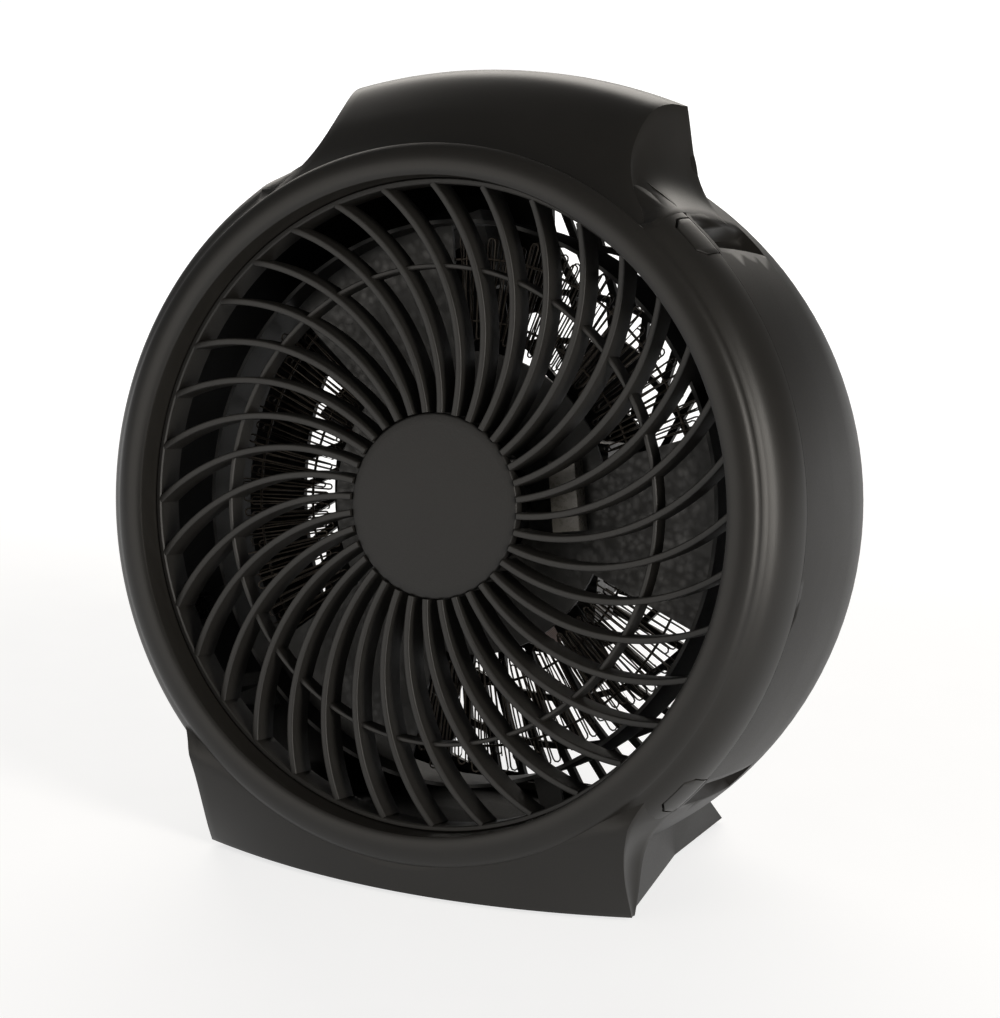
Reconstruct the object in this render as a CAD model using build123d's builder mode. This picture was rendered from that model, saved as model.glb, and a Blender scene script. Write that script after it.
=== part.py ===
from build123d import *
from math import cos, radians, sin
import os

os.makedirs("parts", exist_ok=True)

# A round desk fan heater.  World frame: millimetres, +Z up, the floor at Z = 0, the front facing -Y.
# The fan leans back, so most pieces are placed by their depth behind the bezel face along the fan axis.

# --- driving dimensions -------------------------------------------------------------------------
lean = 10.2                 # backward lean of the fan axis, degrees
axis_height = 120.3         # height of the bezel face's centre above the floor
face_y = -53.66             # where the bezel face's centre stands, so that the origin is under the middle
wall = 2.2                  # moulded wall of the shells
opening_radius = 101.0      # clear opening inside the bezel
bezel_radius = 111.2        # outside of the raised bezel
bezel_round = 2.5           # rounding of the bezel's outer edge
bezel_step = 4.0            # depth of the raised bezel before the shoulder
seam_radius = 119.0         # outside of both shells where they meet
seam_depth = 19.5           # depth of that seam
seam_belly = 2.2            # how much narrower the shoulder is half way to the seam
rear_radius = 117.0         # outside of the rear shell before its back edge rounds over
rear_round_depth = 68.0     # depth where that rounding starts
back_depth = 100.0          # depth of the flat back
back_radius = 107.0         # radius of the flat back
fit_gap = 0.2               # clearance of fitted mouldings
running_fit = 0.03          # radial clearance of turning spindles
overrun = 1.0               # how far a cut runs past the wall it opens
far = 300.0                 # farther than any part of the body

# --- handle block on top ------------------------------------------------------------------------
handle_rear = 50.0          # depth of the handle block's back
handle_foot = 60.0          # height above the fan axis where its hidden foot ends
crown_height = 137.5        # distance of the crown above the fan axis
crown_radius = 193.0        # side-to-side radius of the crown
crown_spare = 8.0           # how far the side outline runs past the crown
handle_front_width = 46.5   # half width of the block's sides, continued to the bezel face
handle_rear_width = 56.4    # half width of the block's sides at its back
handle_front_flare = 1.5    # how much wider the sides are at the neck, in front
handle_rear_flare = 7.0     # and at the back
handle_draft = 3.0          # how far the sides lean in above the shoulder
neck_height = 111.0         # height above the fan axis where the sides start to flare
shoulder_height = 129.0
flare_angle = 54.7          # where the flare meets the drum, degrees from the right
brow_height = 103.0         # where the block's front rises out of the bezel
brow_curve = ((112.0, 12.5), (123.0, 21.0), (133.0, 32.0))   # height and depth along its front

# --- base -----------------------------------------------------------------------------------------
base_half_width = 75.0
base_bulge = 14.0           # how far the base front stands forward at its middle
base_front = 17.3           # how far the base front stands before the bezel centre, at its middle
base_start = 3.0            # depth behind the bezel face where the base's top starts
base_flare_low = 16.0       # height where the base's sides start to flare
base_flare_middle = (4.0, 30.0)    # outward step and height half way up the flare
base_flare_top = (14.0, 46.0)      # outward step and height at its top
base_top = 56.0             # height of the base's hidden top
foot_half_width = 64.5
foot_front = 52.0           # how far behind the bezel centre the foot block starts
foot_rear = 91.0            # and ends
foot_height = 12.0
foot_slope = 15.0           # length of the foot block's sloping front
foot_chamfer = 10.0         # length of its sloping rear
foot_top = 24.0             # height of its hidden top inside the drum
pad_height = 1.2            # rubber feet
pad_radius = 5.0
pad_x = 56.0
pad_front = 2.0
pad_inset = 9.0             # from the foot block's rear to the rear pads

# --- snap tabs on the rim -----------------------------------------------------------------------
tab_angles = (48.7, -41.0, 131.3, 221.0)
tab_half_angle = 3.4
tab_gap_angle = 0.15        # clearance beside each tab, degrees
tab_length = 9.5
tab_thickness = 7.0
slot_inner = 106.0          # how deep the front shell is opened for a tab
rim_outer = 130.0           # outside every part of the rim
recess_start = 2.0          # from the seam to the finger recess
recess_length = 40.0
recess_drop = 5.0
recess_cheek = 0.9          # wall beside the recess, degrees
recess_sink = 1.5           # how far the recess liner starts below the surface

# --- front grille -------------------------------------------------------------------------------
vane_count = 36
vane_thickness = 1.7
vane_front = 9.0
vane_depth = 9.5
vane_arc = 70.0             # radius of each vane's curve
vane_turn = 66.5            # how far each vane turns, degrees
vane_root = 1.5             # how far the vanes start inside the hub
grille_rim = 1.8            # wall of the grille's rim
hub_radius = 27.2
hub_depth = 4.0
hoop_radius = 74.0
hoop_width = 1.4
hoop_depth = 6.5
hoop_set_back = 2.0
cap_radius = 28.7
cap_front = 8.6
cap_dome = 1.4
cap_depth = 4.0

# --- heater -------------------------------------------------------------------------------------
duct_radius = 89.0
duct_wall = 1.2
duct_front = 24.0
duct_rear = 46.0
mica_depth = 34.0
mica_thickness = 1.2
mica_hub = 48.0
mica_hole = 22.0
arm_angles = (0.0, 120.0, 240.0)
arm_half_angle = 21.0
arm_gap_angle = 0.3
band_inner = 51.0
band_outer = 84.0
band_thickness = 1.6
band_front = 0.2            # how far the ribbon stands before the mica
post_ring = 105.0           # circle of the heater's three fixing posts
post_angles = (28.0, 205.0, 292.0)
post_radius = 3.5
post_front = 3.0            # from the mica's face to the posts
post_bore_depth = 14.0
lug_thickness = 1.5
lug_width = 8.0
lug_hole = 1.6
heater_screw_radius = 1.2
heater_screw_head = (3.0, 2.0)     # radius and height
heater_screw_length = 12.0
fitting_ring = 36.0         # circle of the parts riveted to the mica
cutout_angle = 130.0
cutout_radius = 8.0
cutout_height = 5.0
cutout_lug = (26.0, 5.0, 1.0)      # length, width and thickness of its two tags
cutout_lug_rise = 3.5
fuse_angle = 250.0
fuse_size = (14.0, 4.0, 3.2)
terminal_angle = 10.0
terminal_size = (22.0, 9.0, 6.0)

# --- fan and motor ------------------------------------------------------------------------------
blade_count = 7
blade_reach = 68.0
blade_hub = 13.0
blade_bury = 2.0
blade_front = 49.0
blade_length = 12.0
blade_thickness = 1.6
blade_pitch = 34.0          # at the tip, degrees
blade_fill = 0.94           # widest part of a blade over the hub's length
blade_sections = ((blade_hub - blade_bury, 0.5, 50.0), (blade_reach * 0.6, 1.0, 38.0), (blade_reach, 1.0, blade_pitch))
clip_radius = 5.0
clip_length = 2.5
shaft_radius = 2.0
shaft_nose = 4.0            # how far the shaft stands before the blade
shaft_end = 93.0
bearing_radius = 5.0
bearing_length = 4.0
bearing_wall = 2.0
rotor_radius = 12.0
rotor_overhang = 1.0
air_gap = 0.4
stator_front = 71.0
stator_length = 14.0
stator_width = 60.0
stator_height = 58.0
stator_drop = 8.0           # how far the stack hangs below the shaft
window_width = 34.0
window_height = 10.0
window_drop = 25.0
coil_width = 32.0
coil_height = 25.0
coil_drop = 33.0
coil_overhang = 7.0
coil_core = (7.0, 33.5)     # height and drop of the core inside the coil
coil_relief = 19.0          # radius kept clear around the shaft
bracket_thickness = 1.5
bracket_hole = 25.0         # from the shaft to each motor screw
bracket_height = 11.0
bracket_end = 5.0
bracket_foot = (7.0, 9.0)
bracket_stand = 2.5         # from the front bearing's face to its strap
screw_hole = 1.8
screw_radius = 1.6
screw_head = (3.2, 2.0)     # radius and height

# --- rear grille and controls -------------------------------------------------------------------
grille_radius = 100.0
grille_rim_width = 2.5
grille_bars = 30
grille_bar_width = 2.4
grille_bar_turn = 28.0      # slant of the bars, degrees
grille_bar_stretch = 1.16   # how much longer the slant makes them
grille_rings = (52.0, 68.0, 84.0)
ring_half_width = 1.1
hub_plate_radius = 38.0
boss_radius = 4.5
panel_lap = 2.0             # how far the closed panels run into the rim
control_ring = 83.0         # circle on which the two controls sit
control_angles = (112.0, 144.0)
control_sector = (96.0, 160.0)
control_inner = 62.0
control_depth = 22.0
control_hole_gap = 1.0
thermostat_width = 26.0
selector_width = 28.0
control_narrow = 4.0        # how much narrower the bodies are the other way
spindle_radius = 3.0
spindle_inside = 12.0
spindle_outside = 9.0
knob_radius = 14.0
knob_height = 12.0
knob_stand = 0.4            # gap between the knob and the back
knob_taper = 4.0
pointer_width = 1.6
pointer_depth = 0.6
lamp_radius = 3.0
lamp_angle = 128.0
lamp_inside = 4.0
lamp_flange = 1.0
inlet_radius = 5.0
inlet_bore = 3.6
inlet_ring = 92.0
inlet_angle = 240.0
inlet_sector = (230.0, 250.0)
inlet_inner = 84.0
inlet_inside = 3.0
inlet_flange = 1.5
inlet_collar = 2.0
lead_radius = 1.2
lead_bend = 7.0

axis_up = (0, sin(radians(lean)), cos(radians(lean)))
axis_out = (0, -cos(radians(lean)), sin(radians(lean)))
fan = Plane(origin=(0, face_y, axis_height), x_dir=(1, 0, 0), z_dir=axis_out)
section = Plane(origin=fan.origin, x_dir=axis_up, z_dir=(1, 0, 0))       # x: radius, y: minus depth
fan_axis = Axis(fan.origin, fan.z_dir)


def at(depth):
    """The plane that many millimetres behind the bezel face."""
    return fan.offset(-depth)


def polar(radius, angle):
    """A point on a fan plane, by radius and angle from the right-hand side."""
    return (radius * cos(radians(angle)), radius * sin(radians(angle)))


def spot(radius, angle, depth):
    """A point in space by its radius, angle and depth about the fan axis."""
    x, up = polar(radius, angle)
    return fan.origin + fan.x_dir * x + fan.y_dir * up - fan.z_dir * depth


def ring(front, length, outer, inner=0.0, centre=(0, 0), mode=Mode.ADD):
    """A disc or tube along the fan axis, from its front depth backwards."""
    with BuildSketch(at(front)) as profile:
        with Locations(centre):
            Circle(outer)
            if inner:
                Circle(inner, mode=Mode.SUBTRACT)
    extrude(profile.sketch, amount=-length, mode=mode)


def block(front, length, width, height, centre=(0, 0), turn=0.0, mode=Mode.ADD):
    """A rectangular bar along the fan axis, from its front depth backwards."""
    with BuildSketch(at(front)) as profile:
        with Locations(Location((centre[0], centre[1], 0), (0, 0, turn))):
            Rectangle(width, height)
    extrude(profile.sketch, amount=-length, mode=mode)


def pie(depth, length, radius, sector, inner=0.0, mode=Mode.ADD):
    """A sector of a disc or tube between two angles, from its front depth backwards."""
    first, last = sector
    with BuildSketch(at(depth)) as profile:
        with BuildLine():
            Line(polar(inner, first), polar(radius, first))
            CenterArc((0, 0), radius, first, last - first)
            Line(polar(radius, last), polar(inner, last))
            if inner:
                CenterArc((0, 0), inner, first, last - first)
        make_face()
    extrude(profile.sketch, amount=-length, mode=mode)


def around(angle, half_angle):
    """The sector that wide on both sides of an angle."""
    return (angle - half_angle, angle + half_angle)


def finish(part, name):
    """Name a finished piece and write its file."""
    part.part.label = name
    export_step(part.part, f"parts/{name}.step")


# --- the envelope of the body -------------------------------------------------------------------
def drum(inset):
    """The round body's solid envelope, its walls moved in by inset."""
    front = bezel_radius - inset
    middle = seam_radius - inset
    rear = rear_radius - inset
    back = back_radius - inset
    end = back_depth - inset
    seam_middle = (seam_depth + rear_round_depth) / 2
    with BuildPart() as solid:
        with BuildSketch(section) as profile:
            with BuildLine():
                Polyline((0, -end), (0, -bezel_step - inset), (front, -bezel_step - inset))
                ThreePointArc(
                    (front, -bezel_step - inset), (middle - seam_belly, -seam_depth / 2), (middle, -seam_depth)
                )
                ThreePointArc((middle, -seam_depth), (middle - 0.3, -seam_middle), (rear, -rear_round_depth))
                ThreePointArc((rear, -rear_round_depth), (rear - 3.6, -rear_round_depth - 16), (back, -end))
                Line((back, -end), (0, -end))
            make_face()
        revolve(profile.sketch, axis=fan_axis)
    return solid.part


def behind(depth):
    """All space behind a depth."""
    with BuildPart() as space:
        ring(depth, far, far)
    return space.part


def handle_outline(depth, half_width, flare, drum_radius, inset):
    """Section of the handle block on a fan plane, its sides flaring down onto the drum."""
    w = half_width - inset
    tip = w - handle_draft
    top = crown_height + crown_spare
    end_x, end_z = polar(drum_radius - inset - 0.3, flare_angle)
    with BuildSketch(at(depth)) as profile:
        with BuildLine():
            Line((-end_x, handle_foot), (end_x, handle_foot))
            Line((end_x, handle_foot), (end_x, end_z))
            Spline(
                (end_x, end_z), (w + flare, neck_height), (w, shoulder_height),
                tangents=((-end_z, end_x), (-0.15, 1)),
            )
            Polyline((w, shoulder_height), (tip, top), (-tip, top), (-w, shoulder_height))
            Spline(
                (-w, shoulder_height), (-w - flare, neck_height), (-end_x, end_z),
                tangents=((-0.15, -1), (-end_z, -end_x)),
            )
            Line((-end_x, end_z), (-end_x, handle_foot))
        make_face()
    return profile.sketch


def crown(inset):
    """Section of the block's leaning front and rounded top, to be turned about a low axis."""
    low = crown_height - crown_radius
    front = bezel_step + inset
    back = handle_rear + crown_spare
    slope = [(height - inset, -depth - inset * 0.5) for height, depth in brow_curve[:-1]]
    last_height, last_depth = brow_curve[-1]
    with BuildSketch(section) as profile:
        with BuildLine():
            Polyline((low, -back), (low, -front), (brow_height - inset, -front))
            Spline(
                (brow_height - inset, -front), *slope, (last_height - inset, -last_depth),
                (crown_height - inset, -handle_rear), tangents=((1, -0.9), (0.06, -1)),
            )
            Polyline((crown_height - inset, -handle_rear), (crown_height - inset, -back), (low, -back))
        make_face()
    return profile.sketch


def handle(inset, rear):
    """The handle block's solid envelope, its walls moved in by inset, cut off at a depth."""
    growth = rear / handle_rear
    rear_width = handle_front_width + growth * (handle_rear_width - handle_front_width)
    rear_flare = handle_front_flare + growth * (handle_rear_flare - handle_front_flare)
    with BuildPart() as flared:
        front_outline = handle_outline(0.0, handle_front_width, handle_front_flare, bezel_radius, inset)
        rear_outline = handle_outline(rear, rear_width, rear_flare, seam_radius, inset)
        loft([front_outline, rear_outline])
    with BuildPart() as rounded:
        low = fan.origin + Vector(*axis_up) * (crown_height - crown_radius)
        revolve(crown(inset), axis=Axis(low, fan.z_dir))
    return flared.part & rounded.part


def base_outline(y, half_width, inset):
    """Upright section of the base, flaring out from its foot to the drum."""
    w = half_width - inset
    low = pad_height + inset
    middle_out, middle_height = base_flare_middle
    top_out, top_height = base_flare_top
    high = top_height - inset
    with BuildSketch(Plane((0, y, 0), x_dir=(1, 0, 0), z_dir=(0, -1, 0))) as profile:
        with BuildLine():
            Polyline((-w, base_flare_low), (-w, low), (w, low), (w, base_flare_low))
            Spline(
                (w, base_flare_low), (w + middle_out, middle_height), (w + top_out, high),
                tangents=((0, 1), (0.8, 1)),
            )
            Polyline((w + top_out, high), (w + 6, base_top), (-w - 6, base_top), (-w - top_out, high))
            Spline(
                (-w - top_out, high), (-w - middle_out, middle_height), (-w, base_flare_low),
                tangents=((0.8, -1), (0, -1)),
            )
        make_face()
    return profile.sketch


def base(inset):
    """The base's solid envelope between the drum and the floor, its walls moved in by inset."""
    y_front = face_y - base_front + inset
    y_skirt = face_y + foot_front
    y_rear = face_y + foot_rear - 1.4 * inset
    reach = base_half_width + 25
    edge = y_front + base_bulge * (reach / base_half_width) ** 2
    low = pad_height + inset
    with BuildPart() as skirt:
        loft([base_outline(y_front - 2, base_half_width + 1, inset), base_outline(y_skirt, foot_half_width, inset)])
    with BuildPart() as bulge:
        with BuildSketch() as front_plan:
            with BuildLine():
                ThreePointArc((-reach, edge), (0, y_front), (reach, edge))
                Polyline((reach, edge), (reach, y_skirt + overrun), (-reach, y_skirt + overrun), (-reach, edge))
            make_face()
        extrude(front_plan.sketch, amount=base_top + overrun)
    with BuildPart() as foot:
        with BuildSketch(Plane.YZ) as foot_side:
            with BuildLine():
                Polyline(
                    (y_skirt - foot_slope + inset, foot_height), (y_skirt + inset, low), (y_rear, low),
                    (y_rear - foot_chamfer, foot_height - 2), (y_rear - foot_chamfer - 4, foot_top),
                    (y_skirt - foot_slope + inset, foot_top), close=True,
                )
            make_face()
        extrude(foot_side.sketch, amount=foot_half_width - inset, both=True)
    return ((skirt.part & bulge.part) + foot.part) & behind(base_start + inset)


def body(inset):
    """Drum and base together above the floor, their walls moved in by inset."""
    round_body = drum(inset)
    stand = base(inset)
    with BuildPart() as solid:
        add(round_body)
        add(stand)
        with BuildSketch() as under:
            Rectangle(2 * far, 2 * far)
        extrude(under.sketch, amount=pad_height + inset, mode=Mode.SUBTRACT)
        extrude(under.sketch, amount=-far, mode=Mode.SUBTRACT)
    return solid.part


def rim_blocks(front, length, inner, half_angle):
    """A block through the body's rim at each snap tab, from its front depth backwards."""
    with BuildPart() as blocks:
        for angle in tab_angles:
            pie(front, length, rim_outer, around(angle, half_angle), inner)
    return blocks.part


outer_body = body(0)
inner_body = body(wall)
past_seam = behind(seam_depth)
around_drum = drum(-fit_gap)
handle_block = handle(0, handle_rear) - (around_drum & past_seam)
handle_hollow = handle(wall, handle_rear + overrun)
handle_lining = (handle(wall + fit_gap, handle_rear) & behind(handle_rear - wall)) - around_drum
tab_slots = rim_blocks(
    seam_depth - tab_length - fit_gap, tab_length + overrun, slot_inner, tab_half_angle + tab_gap_angle
)
snap_tabs = outer_body & rim_blocks(
    seam_depth - tab_length, tab_length + 2 * overrun, seam_radius - tab_thickness, tab_half_angle
)
lamp_centre = polar(control_ring, lamp_angle)
inlet_centre = polar(inlet_ring, inlet_angle)
panel_front = back_depth - wall

# --- front shell: bezel, shoulder, handle block and the front of the base ------------------------
with BuildPart() as front_shell:
    add(outer_body - past_seam)
    add(handle_block)
    add(inner_body, mode=Mode.SUBTRACT)
    add(handle_hollow, mode=Mode.SUBTRACT)
    ring(0, bezel_step + wall, opening_radius + 0.01, mode=Mode.SUBTRACT)
    ring(0, bezel_step + wall, bezel_radius, opening_radius)
    ring(0, seam_depth - overrun, opening_radius + wall, opening_radius)
    add(tab_slots, mode=Mode.SUBTRACT)
    bezel_edge = front_shell.edges().filter_by(GeomType.CIRCLE).filter_by(
        lambda e: abs(e.radius - bezel_radius) < 0.01 and abs(fan.to_local_coords(e.arc_center).Z) < 0.01
    )
    fillet(bezel_edge, bezel_round)
finish(front_shell, "front_shell")

# --- rear shell: drum, snap tabs, finger recesses, control panel and the rear of the base --------
with BuildPart() as rear_shell:
    add(outer_body & past_seam)
    add(inner_body, mode=Mode.SUBTRACT)
    floor_radius = seam_radius - recess_drop
    for angle in tab_angles:
        pie(
            seam_depth + recess_start, recess_length + 2, seam_radius - recess_sink,
            around(angle, tab_half_angle), floor_radius - wall,
        )
        pie(
            seam_depth + recess_start + 0.5, recess_length, rim_outer,
            around(angle, tab_half_angle - recess_cheek), floor_radius, Mode.SUBTRACT,
        )
    add(snap_tabs)
    ring(panel_front - overrun, wall + 2 * overrun, grille_radius + fit_gap, mode=Mode.SUBTRACT)
    pie(panel_front, wall, grille_radius + panel_lap, control_sector, control_inner)
    pie(panel_front, wall, grille_radius + panel_lap, inlet_sector, inlet_inner)
    holes = [(spindle_radius + control_hole_gap, polar(control_ring, angle)) for angle in control_angles]
    holes += [(lamp_radius + fit_gap, lamp_centre), (inlet_radius, inlet_centre)]
    for radius, centre in holes:
        ring(panel_front - overrun, wall + 2 * overrun, radius, centre=centre, mode=Mode.SUBTRACT)
    post_start = mica_depth + post_front
    for angle in post_angles:
        ring(post_start, panel_front - post_start, post_radius, centre=polar(post_ring, angle))
        ring(
            post_start, post_bore_depth, heater_screw_radius, centre=polar(post_ring, angle), mode=Mode.SUBTRACT
        )
finish(rear_shell, "rear_shell")

with BuildPart() as handle_back:
    add(handle_lining)
finish(handle_back, "handle_back")

# --- front grille and hub cap ---------------------------------------------------------------------
with BuildPart() as front_grille:
    rim = opening_radius - fit_gap
    ring(vane_front, seam_depth - vane_front, rim, rim - grille_rim)
    ring(cap_front + cap_depth, hub_depth, hub_radius)
    ring(vane_front + hoop_set_back, hoop_depth, hoop_radius + hoop_width / 2, hoop_radius - hoop_width / 2)
    with BuildSketch() as vane:
        with BuildLine() as centreline:
            JernArc((hub_radius - vane_root, 0), (1, 0), vane_arc, vane_turn)
        trace(centreline.line, vane_thickness)
        Circle(rim - grille_rim / 2, mode=Mode.INTERSECT)
    with BuildSketch(at(vane_front)) as vanes:
        with PolarLocations(0, vane_count):
            add(vane.sketch)
    extrude(vanes.sketch, amount=-vane_depth)
    ring(0, cap_front + cap_depth, cap_radius + fit_gap, mode=Mode.SUBTRACT)
finish(front_grille, "front_grille")

with BuildPart() as hub_cap:
    cap_rear = cap_front + cap_depth
    cap_edge = cap_front + cap_dome
    with BuildSketch(section) as cap_profile:
        with BuildLine():
            Line((0, -cap_rear), (0, -cap_front))
            ThreePointArc((0, -cap_front), (cap_radius / 2, -cap_front - cap_dome / 4), (cap_radius, -cap_edge))
            Polyline((cap_radius, -cap_edge), (cap_radius, -cap_rear), (0, -cap_rear))
        make_face()
    revolve(cap_profile.sketch, axis=fan_axis)
finish(hub_cap, "hub_cap")

# --- heater ---------------------------------------------------------------------------------------
lug_depth = mica_depth + post_front - lug_thickness
with BuildPart() as heater_duct:
    ring(duct_front, duct_rear - duct_front, duct_radius, duct_radius - duct_wall)
    lug_length = post_ring + post_radius - duct_radius + duct_wall
    for angle in post_angles:
        lug_middle = duct_radius - duct_wall + lug_length / 2
        block(lug_depth, lug_thickness, lug_length, lug_width, polar(lug_middle, angle), angle)
        ring(mica_depth, post_front + 2, lug_hole, centre=polar(post_ring, angle), mode=Mode.SUBTRACT)
finish(heater_duct, "heater_duct")

with BuildPart() as mica_plate:
    ring(mica_depth, mica_thickness, mica_hub, mica_hole)
    for angle in arm_angles:
        pie(mica_depth, mica_thickness, duct_radius - duct_wall, around(angle, arm_half_angle), mica_hub - 3)
finish(mica_plate, "mica_plate")

half_pitch = 180 / len(arm_angles)
for number, angle in enumerate(arm_angles, start=1):
    spread = half_pitch - arm_half_angle - arm_gap_angle
    with BuildPart() as heating_band:
        pie(mica_depth - band_front, band_thickness, band_outer, around(angle + half_pitch, spread), band_inner)
    finish(heating_band, f"heating_band_{number}")

with BuildPart() as thermal_cutout:
    lug_size = cutout_lug
    ring(mica_depth - cutout_height, cutout_height, cutout_radius, centre=polar(fitting_ring, cutout_angle))
    block(
        mica_depth - cutout_lug_rise, lug_size[2], lug_size[0], lug_size[1],
        polar(fitting_ring, cutout_angle), cutout_angle - 90,
    )
finish(thermal_cutout, "thermal_cutout")

with BuildPart() as thermal_fuse:
    length, width, height = fuse_size
    block(mica_depth - height, height, length, width, polar(fitting_ring, fuse_angle), fuse_angle - 90)
finish(thermal_fuse, "thermal_fuse")

with BuildPart() as terminal_block:
    length, width, height = terminal_size
    block(mica_depth - height, height, length, width, polar(fitting_ring, terminal_angle), terminal_angle + 90)
finish(terminal_block, "terminal_block")

with BuildPart() as heater_screws:
    head_radius, head_height = heater_screw_head
    for angle in post_angles:
        ring(lug_depth - head_height, head_height, head_radius, centre=polar(post_ring, angle))
        ring(lug_depth, heater_screw_length, heater_screw_radius, centre=polar(post_ring, angle))
finish(heater_screws, "heater_screws")

# --- fan blade, shaft and motor -------------------------------------------------------------------
with BuildPart() as fan_blade:
    ring(blade_front, blade_length, blade_hub, shaft_radius)
    blade_middle = fan.origin - fan.z_dir * (blade_front + blade_length / 2)
    for blade in range(blade_count):
        turn = radians(blade * 360 / blade_count)
        out = fan.x_dir * cos(turn) + fan.y_dir * sin(turn)
        tangent = fan.z_dir.cross(out)
        sections = []
        for reach, fill, pitch in blade_sections:
            across = tangent * cos(radians(pitch)) + fan.z_dir * sin(radians(pitch))
            chord = blade_length / sin(radians(pitch)) * min(fill, blade_fill)
            with BuildSketch(Plane(blade_middle + out * reach, x_dir=across, z_dir=out)) as slice_profile:
                SlotOverall(chord, blade_thickness)
            sections.append(slice_profile.sketch)
        loft(sections)
finish(fan_blade, "fan_blade")

with BuildPart() as fan_clip:
    ring(blade_front - clip_length, clip_length, clip_radius, shaft_radius)
finish(fan_clip, "fan_clip")

with BuildPart() as motor_shaft:
    ring(blade_front - shaft_nose, shaft_end - blade_front + shaft_nose, shaft_radius)
finish(motor_shaft, "motor_shaft")

with BuildPart() as motor_rotor:
    ring(stator_front - rotor_overhang, stator_length + 2 * rotor_overhang, rotor_radius, shaft_radius)
finish(motor_rotor, "motor_rotor")

screw_places = [(side * bracket_hole, 0) for side in (-1, 1)]
stator_rear = stator_front + stator_length
with BuildPart() as motor_stator:
    block(stator_front, stator_length, stator_width, stator_height, (0, -stator_drop))
    ring(stator_front, stator_length, rotor_radius + air_gap, mode=Mode.SUBTRACT)
    block(stator_front, stator_length, window_width, window_height, (0, -window_drop), mode=Mode.SUBTRACT)
    for place in screw_places:
        ring(stator_front, stator_length, screw_hole, centre=place, mode=Mode.SUBTRACT)
finish(motor_stator, "motor_stator")

with BuildPart() as motor_coil:
    core_height, core_drop = coil_core
    block(stator_front - coil_overhang, stator_length + 2 * coil_overhang, coil_width, coil_height, (0, -coil_drop))
    block(
        stator_front - fit_gap, stator_length + 2 * fit_gap, coil_width, core_height + 2 * fit_gap,
        (0, -core_drop), mode=Mode.SUBTRACT,
    )
    ring(stator_front - coil_overhang, stator_length + 2 * coil_overhang, coil_relief, mode=Mode.SUBTRACT)
finish(motor_coil, "motor_coil")

bearing_front = stator_front - bearing_length - 1
bearing_rear = stator_rear + 1
foot_width, foot_tall = bracket_foot
with BuildPart() as front_bracket:
    strap = bearing_front + bracket_stand
    ring(bearing_front, bearing_length, bearing_radius + bearing_wall, bearing_radius)
    block(strap, bracket_thickness, 2 * (bracket_hole + bracket_end), bracket_height)
    ring(bearing_front, bearing_length, bearing_radius, mode=Mode.SUBTRACT)
    for place in screw_places:
        block(strap, stator_front - strap, foot_width, foot_tall, place)
        ring(strap, stator_front - strap, screw_hole, centre=place, mode=Mode.SUBTRACT)
finish(front_bracket, "front_bracket")

with BuildPart() as rear_bracket:
    ring(bearing_rear, bearing_length, bearing_radius + bearing_wall, bearing_radius)
    block(bearing_rear, bracket_thickness, 2 * (bracket_hole + bracket_end), bracket_height)
    ring(bearing_rear, bearing_length, bearing_radius, mode=Mode.SUBTRACT)
    foot_depth = bearing_rear + bracket_thickness - stator_rear
    for place in screw_places:
        block(stator_rear, foot_depth, foot_width, foot_tall, place)
        ring(stator_rear, foot_depth, screw_hole, centre=place, mode=Mode.SUBTRACT)
finish(rear_bracket, "rear_bracket")

for name, front in (("front_bearing", bearing_front), ("rear_bearing", bearing_rear)):
    with BuildPart() as bearing:
        ring(front, bearing_length, bearing_radius, shaft_radius + running_fit)
    finish(bearing, name)

with BuildPart() as motor_screws:
    head_radius, head_height = screw_head
    for place in screw_places:
        ring(strap - head_height, head_height, head_radius, centre=place)
        ring(strap, back_depth - strap, screw_radius, centre=place)
finish(motor_screws, "motor_screws")

# --- rear grille ----------------------------------------------------------------------------------
with BuildPart() as rear_grille:
    with BuildSketch(at(back_depth - wall)) as web:
        Circle(grille_radius)
        Circle(grille_radius - grille_rim_width, mode=Mode.SUBTRACT)
        for radius in reversed(grille_rings):
            Circle(radius + ring_half_width)
            Circle(radius - ring_half_width, mode=Mode.SUBTRACT)
        Circle(hub_plate_radius)
        for first, last, count in (
            (hub_plate_radius, grille_rings[1], grille_bars), (grille_rings[1], grille_radius, 2 * grille_bars)
        ):
            with PolarLocations((first + last) / 2, count):
                Rectangle((last - first) * grille_bar_stretch, grille_bar_width, rotation=grille_bar_turn)
        Circle(grille_radius, mode=Mode.INTERSECT)
    extrude(web.sketch, amount=-wall)
    for sector, inner in ((control_sector, control_inner), (inlet_sector, inlet_inner)):
        wider = (sector[0] - tab_gap_angle, sector[1] + tab_gap_angle)
        pie(panel_front - overrun, wall + 2 * overrun, rim_outer, wider, inner - fit_gap, Mode.SUBTRACT)
    boss_front = bearing_rear + bracket_thickness
    for place in screw_places:
        ring(boss_front, panel_front - boss_front, boss_radius, centre=place)
        ring(boss_front, back_depth + overrun - boss_front, screw_hole, centre=place, mode=Mode.SUBTRACT)
finish(rear_grille, "rear_grille")

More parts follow.
